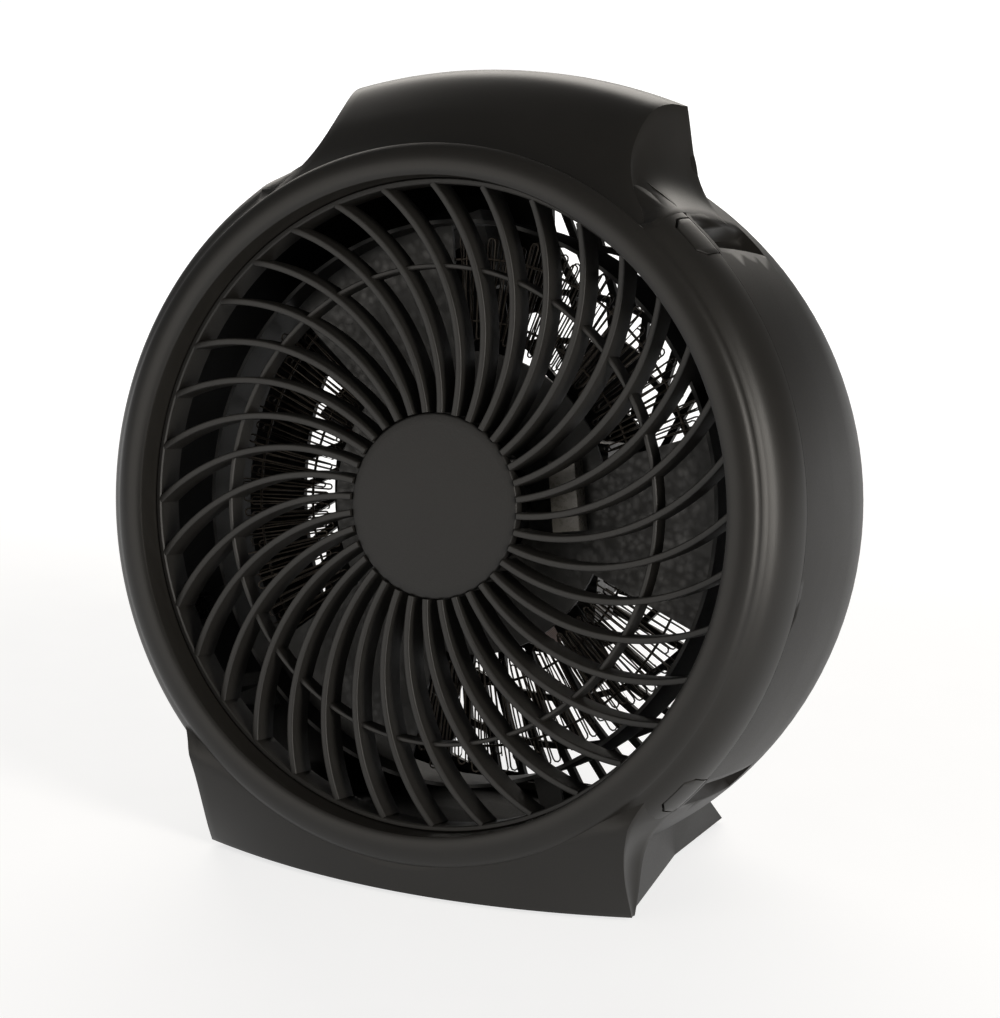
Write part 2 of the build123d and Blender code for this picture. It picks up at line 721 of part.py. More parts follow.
# --- controls on the back -------------------------------------------------------------------------
body_front = panel_front - control_depth
controls = (("thermostat", control_angles[0], thermostat_width), ("selector", control_angles[1], selector_width))
for name, angle, width in controls:
    centre = polar(control_ring, angle)
    with BuildPart() as control_body:
        block(body_front, control_depth, width, width - control_narrow, centre, angle)
        ring(body_front, control_depth, spindle_radius + running_fit, centre=centre, mode=Mode.SUBTRACT)
    finish(control_body, f"{name}_body")
    with BuildPart() as spindle:
        ring(panel_front - spindle_inside, wall + spindle_inside + spindle_outside, spindle_radius, centre=centre)
    finish(spindle, f"{name}_spindle")
    with BuildPart() as knob:
        knob_front = back_depth + knob_stand
        with BuildSketch(at(knob_front)) as knob_plan:
            with Locations(centre):
                Circle(knob_radius)
        extrude(knob_plan.sketch, amount=-knob_height, taper=knob_taper)
        pointer_centre = (centre[0] + polar(knob_radius * 0.55, angle)[0], centre[1] + polar(knob_radius * 0.55, angle)[1])
        block(
            knob_front + knob_height - pointer_depth, pointer_depth + overrun, knob_radius * 0.7, pointer_width,
            pointer_centre, angle, Mode.SUBTRACT,
        )
        ring(knob_front, spindle_outside - knob_stand, spindle_radius, centre=centre, mode=Mode.SUBTRACT)
    finish(knob, f"{name}_knob")

with BuildPart() as lamp_lens:
    ring(panel_front - lamp_inside, lamp_inside + wall + lamp_flange, lamp_radius, centre=lamp_centre)
    ring(back_depth, lamp_flange, lamp_radius + lamp_flange, centre=lamp_centre)
finish(lamp_lens, "lamp_lens")

with BuildPart() as inlet_bush:
    ring(panel_front - inlet_inside, inlet_inside + wall, inlet_radius - fit_gap, inlet_bore, inlet_centre)
    ring(back_depth, inlet_collar, inlet_radius + inlet_flange, inlet_bore, inlet_centre)
finish(inlet_bush, "inlet_bush")

# --- internal leads from the controls to the heater -----------------------------------------------
lead_end = mica_depth + mica_thickness
for name, start_angle, end_angle in (("brown_lead", 116.0, 112.0), ("blue_lead", 140.0, 130.0)):
    with BuildPart() as lead:
        with BuildLine() as route:
            FilletPolyline(
                spot(control_ring, start_angle, body_front), spot(control_ring, start_angle, 64),
                spot(78, (start_angle + end_angle) / 2, 56), spot(77, end_angle, 48),
                spot(77, end_angle, lead_end), radius=lead_bend,
            )
        with BuildSketch(Plane(route.line @ 0, z_dir=route.line % 0)) as wire:
            Circle(lead_radius)
        sweep(wire.sketch, path=route.line)
    finish(lead, name)

# --- feet -----------------------------------------------------------------------------------------
with BuildPart() as rubber_feet:
    with BuildSketch() as pads:
        rear_y = face_y + foot_rear - pad_inset
        with Locations((-pad_x, face_y + pad_front), (pad_x, face_y + pad_front), (-pad_x, rear_y), (pad_x, rear_y)):
            Circle(pad_radius)
    extrude(pads.sketch, amount=pad_height)
finish(rubber_feet, "rubber_feet")
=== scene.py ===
"""A round desk fan heater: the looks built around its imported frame."""

import logging
import math
from dataclasses import dataclass
from enum import Enum
from typing import Callable, Iterable, Sequence

import bpy
from mathutils import Matrix, Vector


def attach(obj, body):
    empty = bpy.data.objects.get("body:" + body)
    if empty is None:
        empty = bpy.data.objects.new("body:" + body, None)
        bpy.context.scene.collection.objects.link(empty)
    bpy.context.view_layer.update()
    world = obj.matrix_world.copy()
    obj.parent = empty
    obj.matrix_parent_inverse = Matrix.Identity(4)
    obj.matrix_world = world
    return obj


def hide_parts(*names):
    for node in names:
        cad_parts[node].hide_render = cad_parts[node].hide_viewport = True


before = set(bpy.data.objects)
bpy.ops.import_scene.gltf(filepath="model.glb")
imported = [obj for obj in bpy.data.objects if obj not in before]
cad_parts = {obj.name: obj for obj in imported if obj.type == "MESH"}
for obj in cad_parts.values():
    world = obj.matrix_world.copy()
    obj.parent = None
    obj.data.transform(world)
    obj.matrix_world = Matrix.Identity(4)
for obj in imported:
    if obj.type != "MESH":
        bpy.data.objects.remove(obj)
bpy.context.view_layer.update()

LOG = logging.getLogger("fan_heater")
MM = 0.001
LEAN = math.radians(10.2)
AXIS_POINT = Vector((0.0, -53.66, 120.3))
AXIS_UP = Vector((0.0, math.sin(LEAN), math.cos(LEAN)))
AXIS_BACK = Vector((0.0, math.cos(LEAN), -math.sin(LEAN)))
FULL_TURN = 2 * math.pi

Point = tuple[float, float, float]
Colour = tuple[float, float, float]
Profile = list[tuple[float, float]]
Stations = tuple[tuple[float, float], ...]


# --- places and small modelling steps --------------------------------------------------------
def place(x: float, up: float, depth: float) -> Vector:
    """Turn fan coordinates into the row frame.

    Args:
        x: millimetres to the right of the fan axis.
        up: millimetres up along the leaning face.
        depth: millimetres behind the bezel face.

    Returns:
        The point in metres.
    """
    return (AXIS_POINT + Vector((x, 0.0, 0.0)) + AXIS_UP * up + AXIS_BACK * depth) * MM


def polar(radius: float, angle: float, depth: float) -> Vector:
    """Return the point at a radius, an angle in degrees and a depth about the fan axis."""
    turn = math.radians(angle)
    return place(radius * math.cos(turn), radius * math.sin(turn), depth)


def clear_selection() -> None:
    """Leave object mode ready, with nothing selected."""
    if bpy.context.object is not None and bpy.context.object.mode != "OBJECT":
        bpy.ops.object.mode_set(mode="OBJECT")
    bpy.ops.object.select_all(action="DESELECT")


def activate(piece: bpy.types.Object) -> None:
    """Make one piece the only selected and the active one."""
    clear_selection()
    piece.select_set(True)
    bpy.context.view_layer.objects.active = piece


def outline(name: str, points: Sequence[Vector], filled: bool = False) -> bpy.types.Object:
    """Add a closed outline whose corners are moved to the given points.

    Args:
        name: the piece's name.
        points: the corners in the row frame, in metres.
        filled: whether the outline gets a face.

    Returns:
        The new piece, at the origin.
    """
    clear_selection()
    fill = "NGON" if filled else "NOTHING"
    bpy.ops.mesh.primitive_circle_add(vertices=len(points), radius=1.0, fill_type=fill, location=(0, 0, 0))
    piece = bpy.context.object
    piece.name = piece.data.name = name
    for corner, point in zip(piece.data.vertices, points):
        corner.co = point
    return piece


def settle(piece: bpy.types.Object, merge: float = 0.00001) -> None:
    """Merge doubled corners and turn every face outwards."""
    activate(piece)
    bpy.ops.object.mode_set(mode="EDIT")
    bpy.ops.mesh.select_all(action="SELECT")
    bpy.ops.mesh.remove_doubles(threshold=merge)
    bpy.ops.mesh.normals_make_consistent(inside=False)
    bpy.ops.object.mode_set(mode="OBJECT")


def smooth(piece: bpy.types.Object, degrees: float = 35.0) -> None:
    """Shade a piece smooth except across edges sharper than the angle."""
    activate(piece)
    bpy.ops.object.shade_smooth_by_angle(angle=math.radians(degrees))


def spun(name: str, profile: Sequence[tuple[float, float]], steps: int) -> bpy.types.Object:
    """Turn a closed profile of radius and depth about the fan axis.

    Args:
        name: the piece's name.
        profile: radius and depth pairs, in millimetres.
        steps: faces around the turn.

    Returns:
        The closed piece of revolution.
    """
    piece = outline(name, [place(0, radius, depth) for radius, depth in profile])
    activate(piece)
    bpy.ops.object.mode_set(mode="EDIT")
    bpy.ops.mesh.select_all(action="SELECT")
    bpy.ops.mesh.spin(steps=steps, angle=FULL_TURN, center=place(0, 0, 0), axis=AXIS_BACK)
    bpy.ops.object.mode_set(mode="OBJECT")
    settle(piece)
    return piece


def arc(centre: tuple[float, float], radius: float, first: float, last: float, count: int) -> Profile:
    """Return points on a circular arc in a profile.

    Args:
        centre: the arc's middle, as radius and depth.
        radius: the arc's own radius.
        first: start angle in degrees.
        last: end angle in degrees.
        count: number of steps.

    Returns:
        count + 1 pairs of radius and depth.
    """
    turns = [math.radians(first + (last - first) * step / count) for step in range(count + 1)]
    return [(centre[0] + radius * math.cos(turn), centre[1] + radius * math.sin(turn)) for turn in turns]


def through(
    start: tuple[float, float], middle: tuple[float, float], end: tuple[float, float], count: int
) -> Profile:
    """Return points on the circle through three profile points.

    Args:
        start: the first point, as radius and depth.
        middle: a point between the two ends.
        end: the last point.
        count: number of steps.

    Returns:
        count + 1 pairs of radius and depth, from start to end.
    """
    ax, ay = start
    bx, by = middle
    cx, cy = end
    base = 2 * (ax * (by - cy) + bx * (cy - ay) + cx * (ay - by))
    ox = ((ax**2 + ay**2) * (by - cy) + (bx**2 + by**2) * (cy - ay) + (cx**2 + cy**2) * (ay - by)) / base
    oy = ((ax**2 + ay**2) * (cx - bx) + (bx**2 + by**2) * (ax - cx) + (cx**2 + cy**2) * (bx - ax)) / base
    first = math.atan2(ay - oy, ax - ox)
    last = math.atan2(cy - oy, cx - ox)
    if abs(last - first) > math.pi:
        last += FULL_TURN if last < first else -FULL_TURN
    radius = math.hypot(ax - ox, ay - oy)
    return arc((ox, oy), radius, math.degrees(first), math.degrees(last), count)


def join(name: str, pieces: Iterable[bpy.types.Object]) -> bpy.types.Object:
    """Join pieces into one mesh with a new name."""
    members = list(pieces)
    clear_selection()
    for member in members:
        member.select_set(True)
    bpy.context.view_layer.objects.active = members[0]
    bpy.ops.object.join()
    members[0].name = members[0].data.name = name
    return members[0]


def turned_copies(piece: bpy.types.Object, count: int) -> list[bpy.types.Object]:
    """Copy a piece around the fan axis, each copy with its own mesh.

    Args:
        piece: the first one.
        count: how many there are in the full turn.

    Returns:
        All of them, the first included.
    """
    copies = [piece]
    centre = Matrix.Translation(AXIS_POINT * MM)
    for number in range(1, count):
        copy = twin(piece)
        spin = Matrix.Rotation(FULL_TURN * number / count, 4, AXIS_BACK)
        copy.data.transform(centre @ spin @ centre.inverted())
        copies.append(copy)
    return copies


def apply(piece: bpy.types.Object, kind: str, **settings: object) -> None:
    """Add a modifier with its settings and apply it."""
    activate(piece)
    modifier = piece.modifiers.new(kind.title(), kind)
    for key, value in settings.items():
        setattr(modifier, key, value)
    bpy.ops.object.modifier_apply(modifier=modifier.name)


def twin(piece: bpy.types.Object) -> bpy.types.Object:
    """Copy a piece together with its mesh."""
    copy = piece.copy()
    copy.data = piece.data.copy()
    bpy.context.scene.collection.objects.link(copy)
    return copy


def carve(piece: bpy.types.Object, cutter: bpy.types.Object, operation: str) -> None:
    """Cut a piece with a closed block, and take the block away.

    Args:
        piece: the piece to cut.
        cutter: the closed block.
        operation: DIFFERENCE to take the block's room out, INTERSECT to keep only that.
    """
    apply(piece, "BOOLEAN", operation=operation, object=cutter, solver="EXACT")
    bpy.data.objects.remove(cutter)


def bevel(piece: bpy.types.Object, width: float, degrees: float) -> None:
    """Round a piece's edges that are sharper than the angle, by a width in millimetres."""
    limit = math.radians(degrees)
    apply(piece, "BEVEL", width=width * MM, segments=2, limit_method="ANGLE", angle_limit=limit)


def fan_place(spot: Vector) -> tuple[float, float, float]:
    """Return x, up and depth in millimetres of a point given in metres."""
    offset = spot / MM - AXIS_POINT
    return offset.x, offset.dot(AXIS_UP), offset.dot(AXIS_BACK)


def along(stations: Stations, at: float) -> float:
    """Read a smooth curve through stations.

    Args:
        stations: pairs of position and value, in rising position.
        at: the position to read.

    Returns:
        The value there, held constant past both ends.
    """
    if at <= stations[0][0]:
        return stations[0][1]
    if at >= stations[-1][0]:
        return stations[-1][1]
    slopes = []
    for number in range(len(stations)):
        low = stations[max(number - 1, 0)]
        high = stations[min(number + 1, len(stations) - 1)]
        slopes.append((high[1] - low[1]) / (high[0] - low[0]))
    for number, (left, right) in enumerate(zip(stations, stations[1:])):
        if at <= right[0]:
            span = right[0] - left[0]
            t = (at - left[0]) / span
            start, end = slopes[number] * span, slopes[number + 1] * span
            rise = (2 * t**3 - 3 * t**2 + 1) * left[1] + (3 * t**2 - 2 * t**3) * right[1]
            return rise + (t**3 - 2 * t**2 + t) * start + (t**3 - t**2) * end
    return stations[-1][1]


def draped(name: str, columns: int, rows: int, where: Callable[[int, int], Vector]) -> bpy.types.Object:
    """Add a grid and move each corner to its place.

    Args:
        name: the piece's name.
        columns: faces across.
        rows: faces along.
        where: gives a corner's place from its column and row.

    Returns:
        The open sheet.
    """
    clear_selection()
    bpy.ops.mesh.primitive_grid_add(x_subdivisions=columns, y_subdivisions=rows, size=2.0, location=(0, 0, 0))
    piece = bpy.context.object
    piece.name = piece.data.name = name
    for corner in piece.data.vertices:
        column = round((corner.co.x + 1) / 2 * columns)
        row = round((corner.co.y + 1) / 2 * rows)
        corner.co = where(column, row)
    return piece


def face_away(piece: bpy.types.Object, inside: Vector) -> None:
    """Turn an open sheet's faces away from a point.

    Args:
        piece: the open sheet.
        inside: a point inside the body, in metres.
    """
    settle(piece)
    votes = sum((face.center - inside).dot(face.normal) * face.area for face in piece.data.polygons)
    if votes < 0:
        activate(piece)
        bpy.ops.object.mode_set(mode="EDIT")
        bpy.ops.mesh.select_all(action="SELECT")
        bpy.ops.mesh.flip_normals()
        bpy.ops.object.mode_set(mode="OBJECT")


def wire(name: str, points: Sequence[Vector], radius: float) -> bpy.types.Object:
    """Lay a round wire along points and make it a mesh.

    Args:
        name: the piece's name.
        points: the route in metres.
        radius: the wire's radius in millimetres.

    Returns:
        The wire as a mesh.
    """
    clear_selection()
    curve = bpy.data.curves.new(name, "CURVE")
    curve.dimensions = "3D"
    curve.bevel_depth = radius * MM
    curve.bevel_resolution = 1
    curve.use_fill_caps = True
    line = curve.splines.new("POLY")
    line.points.add(len(points) - 1)
    for dot, point in zip(line.points, points):
        dot.co = (*point, 1.0)
    piece = bpy.data.objects.new(name, curve)
    bpy.context.scene.collection.objects.link(piece)
    activate(piece)
    bpy.ops.object.convert(target="MESH")
    return bpy.context.object


# --- finishes --------------------------------------------------------------------------------
class Pattern(Enum):
    """How a finish varies over its surface."""

    GRAIN = "grain"
    BRUSHED = "brushed"
    FLAKES = "flakes"
    STACKED = "stacked"
    WOUND = "wound"
    WOVEN = "woven"


@dataclass(frozen=True)
class Finish:
    """A procedural finish on object coordinates.

    Attributes:
        name: the material's name.
        colour: the darker of its two tones, linear.
        second: the lighter tone, linear.
        roughness: lowest and highest roughness.
        metallic: 1.0 for bare metal.
        pattern: how colour, gloss and bump vary.
        size: size of the pattern's features in millimetres.
        bump: bump height in millimetres.
        transmission: share of light let through.
        specular: strength of the gloss on a surface that isn't metal.
    """

    name: str
    colour: Colour
    second: Colour
    roughness: tuple[float, float] = (0.4, 0.5)
    metallic: float = 0.0
    pattern: Pattern = Pattern.GRAIN
    size: float = 0.6
    bump: float = 0.02
    transmission: float = 0.0
    specular: float = 0.5

    def material(self) -> bpy.types.Material:
        """Build the node material once and return it."""
        known = bpy.data.materials.get(self.name)
        if known is not None:
            return known
        made = bpy.data.materials.new(self.name)
        made.use_nodes = True
        tree = made.node_tree
        shader = tree.nodes["Principled BSDF"]
        shader.inputs["Metallic"].default_value = self.metallic
        shader.inputs["Transmission Weight"].default_value = self.transmission
        shader.inputs["Specular IOR Level"].default_value = self.specular
        where = tree.nodes.new("ShaderNodeTexCoord").outputs["Object"]
        fine = self._pattern(tree, where)
        broad = tree.nodes.new("ShaderNodeTexNoise")
        broad.inputs["Scale"].default_value = 38.0
        broad.inputs["Detail"].default_value = 3.0
        tree.links.new(where, broad.inputs["Vector"])
        both = tree.nodes.new("ShaderNodeMath")
        both.operation = "MULTIPLY_ADD"
        both.inputs[1].default_value = 0.6
        tree.links.new(fine, both.inputs[0])
        share = tree.nodes.new("ShaderNodeMath")
        share.operation = "MULTIPLY"
        share.inputs[1].default_value = 0.4
        tree.links.new(broad.outputs["Fac"], share.inputs[0])
        tree.links.new(share.outputs[0], both.inputs[2])
        tones = tree.nodes.new("ShaderNodeValToRGB")
        tones.color_ramp.elements[0].position = 0.3
        tones.color_ramp.elements[0].color = (*self.colour, 1.0)
        tones.color_ramp.elements[1].position = 0.72
        tones.color_ramp.elements[1].color = (*self.second, 1.0)
        tree.links.new(both.outputs[0], tones.inputs["Fac"])
        tree.links.new(tones.outputs["Color"], shader.inputs["Base Color"])
        gloss = tree.nodes.new("ShaderNodeMapRange")
        gloss.inputs["To Min"].default_value = self.roughness[0]
        gloss.inputs["To Max"].default_value = self.roughness[1]
        gloss.inputs["From Min"].default_value = 0.3
        gloss.inputs["From Max"].default_value = 0.7
        tree.links.new(both.outputs[0], gloss.inputs["Value"])
        tree.links.new(gloss.outputs["Result"], shader.inputs["Roughness"])
        relief = tree.nodes.new("ShaderNodeBump")
        relief.inputs["Strength"].default_value = 1.0
        relief.inputs["Distance"].default_value = self.bump * MM
        tree.links.new(fine, relief.inputs["Height"])
        tree.links.new(relief.outputs["Normal"], shader.inputs["Normal"])
        return made

    def _pattern(self, tree: bpy.types.NodeTree, where: bpy.types.NodeSocket) -> bpy.types.NodeSocket:
        """Add the fine pattern's nodes.

        Args:
            tree: the material's node tree.
            where: the coordinate output to read.

        Returns:
            The output that holds the pattern, from 0 to 1.
        """
        aim = tree.nodes.new("ShaderNodeMapping")
        aim.inputs["Rotation"].default_value = (-LEAN, 0.0, 0.0)
        tree.links.new(where, aim.inputs["Vector"])
        cycles = 1.0 / (self.size * MM)
        if self.pattern in (Pattern.STACKED, Pattern.WOUND, Pattern.WOVEN):
            bands = tree.nodes.new("ShaderNodeTexWave")
            bands.bands_direction = "Y" if self.pattern is Pattern.STACKED else "Z"
            bands.inputs["Scale"].default_value = cycles * 0.16
            bands.inputs["Distortion"].default_value = 0.4
            bands.inputs["Detail Scale"].default_value = 3.0
            tree.links.new(aim.outputs["Vector"], bands.inputs["Vector"])
            if self.pattern is not Pattern.WOVEN:
                return bands.outputs["Fac"]
            cross = tree.nodes.new("ShaderNodeTexWave")
            cross.bands_direction = "DIAGONAL"
            cross.inputs["Scale"].default_value = cycles * 0.16
            tree.links.new(aim.outputs["Vector"], cross.inputs["Vector"])
            meet = tree.nodes.new("ShaderNodeMath")
            meet.operation = "MULTIPLY"
            tree.links.new(bands.outputs["Fac"], meet.inputs[0])
            tree.links.new(cross.outputs["Fac"], meet.inputs[1])
            return meet.outputs[0]
        if self.pattern is Pattern.FLAKES:
            cells = tree.nodes.new("ShaderNodeTexVoronoi")
            cells.inputs["Scale"].default_value = cycles
            cells.inputs["Randomness"].default_value = 1.0
            tree.links.new(aim.outputs["Vector"], cells.inputs["Vector"])
            return cells.outputs["Distance"]
        if self.pattern is Pattern.BRUSHED:
            aim.inputs["Scale"].default_value = (0.08, 1.0, 1.0)
        noise = tree.nodes.new("ShaderNodeTexNoise")
        noise.inputs["Scale"].default_value = cycles
        noise.inputs["Detail"].default_value = 4.0
        noise.inputs["Roughness"].default_value = 0.6
        tree.links.new(aim.outputs["Vector"], noise.inputs["Vector"])
        return noise.outputs["Fac"]

    def dress(self, piece: bpy.types.Object) -> None:
        """Put the finish on a piece in place of any other."""
        piece.data.materials.clear()
        piece.data.materials.append(self.material())


SHELL_BLACK = Finish(
    "shell_black", (0.0085, 0.0078, 0.0068), (0.0125, 0.0115, 0.0100),
    (0.36, 0.43), size=0.55, bump=0.012, specular=0.3,
)
REAR_BLACK = Finish(
    "rear_black", (0.0075, 0.0068, 0.0060), (0.0110, 0.0100, 0.0088),
    (0.40, 0.48), size=0.55, bump=0.014, specular=0.13,
)
GRILLE_BLACK = Finish(
    "grille_black", (0.0105, 0.0098, 0.0088), (0.0150, 0.0140, 0.0125),
    (0.42, 0.52), size=0.8, bump=0.035, specular=0.35,
)
CAP_GRAIN = Finish(
    "cap_grain", (0.0090, 0.0086, 0.0080), (0.0160, 0.0152, 0.0142),
    (0.40, 0.55), size=0.75, bump=0.06, specular=0.28,
)
DUCT_BLACK = Finish(
    "duct_black", (0.010, 0.010, 0.0095), (0.020, 0.019, 0.018),
    (0.4, 0.55), size=0.9, bump=0.02, specular=0.2,
)
FAN_BLACK = Finish(
    "fan_black", (0.006, 0.006, 0.006), (0.010, 0.010, 0.010),
    (0.35, 0.5), size=1.2, bump=0.02,
)
# Painted shade: the inner wall's plastic gets a darker colour than the outside to stand in for the shade
# inside the shell; its higher roughness and weaker gloss are the real finish.
INSIDE_BLACK_PAINTED_SHADE = Finish(
    "inside_black_painted_shade", (0.0030, 0.0029, 0.0027), (0.0050, 0.0048, 0.0045),
    (0.6, 0.75), size=0.9, bump=0.02, specular=0.15,
)
KNOB_BLACK = Finish(
    "knob_black", (0.008, 0.008, 0.008), (0.013, 0.013, 0.012),
    (0.32, 0.42), size=0.6, bump=0.015,
)
ZINC_SHEET = Finish(
    "zinc_sheet", (0.13, 0.13, 0.125), (0.22, 0.22, 0.21),
    (0.35, 0.5), 1.0, Pattern.BRUSHED, 0.7, 0.01,
)
ZINC_SCREW = Finish(
    "zinc_screw", (0.42, 0.42, 0.40), (0.62, 0.61, 0.58),
    (0.22, 0.36), 1.0, Pattern.GRAIN, 0.4, 0.006,
)
NICHROME = Finish(
    "nichrome_wire", (0.022, 0.018, 0.015), (0.10, 0.085, 0.068),
    (0.35, 0.55), 0.8, Pattern.GRAIN, 1.6, 0.02,
)
MICA = Finish(
    "mica_sheet", (0.012, 0.0115, 0.0105), (0.026, 0.025, 0.0225),
    (0.35, 0.6), 0.0, Pattern.FLAKES, 2.4, 0.02,
)
CUTOUT_CASE = Finish(
    "cutout_case", (0.030, 0.029, 0.026), (0.055, 0.053, 0.048),
    (0.35, 0.5), 0.4, Pattern.BRUSHED, 0.4, 0.006,
)
GLASS_SLEEVE = Finish(
    "glass_sleeve", (0.55, 0.51, 0.40), (0.80, 0.77, 0.66),
    (0.55, 0.75), 0.0, Pattern.WOVEN, 0.8, 0.06,
)
CERAMIC = Finish(
    "ceramic_body", (0.16, 0.15, 0.13), (0.24, 0.225, 0.20),
    (0.2, 0.4), 0.0, Pattern.GRAIN, 1.5, 0.02,
)
LAMINATION = Finish(
    "lamination_stack", (0.12, 0.12, 0.12), (0.34, 0.33, 0.32),
    (0.3, 0.5), 0.9, Pattern.STACKED, 0.5, 0.05,
)
WINDING = Finish(
    "copper_winding", (0.060, 0.022, 0.009), (0.14, 0.052, 0.021),
    (0.35, 0.5), 0.35, Pattern.WOUND, 0.35, 0.08,
)
BRONZE = Finish(
    "bearing_bronze", (0.30, 0.19, 0.09), (0.46, 0.31, 0.16),
    (0.35, 0.55), 1.0, Pattern.GRAIN, 0.5, 0.01,
)
SWITCH_CASE = Finish(
    "switch_case", (0.05, 0.05, 0.05), (0.08, 0.08, 0.078),
    (0.4, 0.55), size=0.8, bump=0.02,
)
LENS_RED = Finish(
    "lens_red", (0.45, 0.03, 0.01), (0.62, 0.07, 0.02),
    (0.08, 0.16), size=2.0, bump=0.01, transmission=0.5,
)
BUSH_RUBBER = Finish(
    "bush_rubber", (0.010, 0.010, 0.010), (0.018, 0.018, 0.018),
    (0.6, 0.8), size=0.5, bump=0.03,
)
FOOT_RUBBER = Finish(
    "foot_rubber", (0.010, 0.010, 0.010), (0.020, 0.020, 0.019),
    (0.65, 0.85), size=0.5, bump=0.03,
)
BROWN_SLEEVE = Finish(
    "brown_sleeve", (0.085, 0.028, 0.012), (0.13, 0.045, 0.020),
    (0.35, 0.5), size=0.8, bump=0.02,
)
BLUE_SLEEVE = Finish(
    "blue_sleeve", (0.012, 0.05, 0.20), (0.02, 0.08, 0.28),
    (0.35, 0.5), size=0.8, bump=0.02,
)
PALE_FLOOR = Finish("pale_floor", (0.38, 0.38, 0.38), (0.40, 0.40, 0.40), (0.7, 0.8), size=40.0, bump=0.0)

CAD_FINISHES: dict[str, Finish] = {
    "handle_back": REAR_BLACK, "rear_grille": REAR_BLACK, "heater_duct": DUCT_BLACK,
    "mica_plate": MICA, "thermal_cutout": CUTOUT_CASE, "thermal_fuse": GLASS_SLEEVE,
    "terminal_block": CERAMIC, "heater_screws": ZINC_SCREW, "fan_blade": FAN_BLACK,
    "fan_clip": ZINC_SCREW, "motor_shaft": ZINC_SCREW, "motor_rotor": ZINC_SHEET,
    "motor_stator": LAMINATION, "motor_coil": WINDING, "front_bracket": ZINC_SHEET,
    "rear_bracket": ZINC_SHEET, "front_bearing": BRONZE, "rear_bearing": BRONZE,
    "motor_screws": ZINC_SCREW, "thermostat_body": SWITCH_CASE, "selector_body": SWITCH_CASE,
    "thermostat_spindle": SWITCH_CASE, "selector_spindle": SWITCH_CASE, "thermostat_knob": KNOB_BLACK,
    "selector_knob": KNOB_BLACK, "lamp_lens": LENS_RED, "inlet_bush": BUSH_RUBBER,
    "brown_lead": BROWN_SLEEVE, "blue_lead": BLUE_SLEEVE, "rubber_feet": FOOT_RUBBER,
}


def finish_piece(piece: bpy.types.Object, finish: Finish, body: str, slot: str, *nodes: str) -> None:
    """Dress a new piece, let it ride on its body and stand for its CAD nodes.

    Args:
        piece: the finished mesh.
        finish: its look.
        body: the CAD body that it moves with.
        slot: not used.
        nodes: the CAD nodes it replaces.
    """
    finish.dress(piece)
    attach(piece, body)
    if nodes:
        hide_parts(*nodes)
    LOG.info("%s: %d faces", piece.name, len(piece.data.polygons))


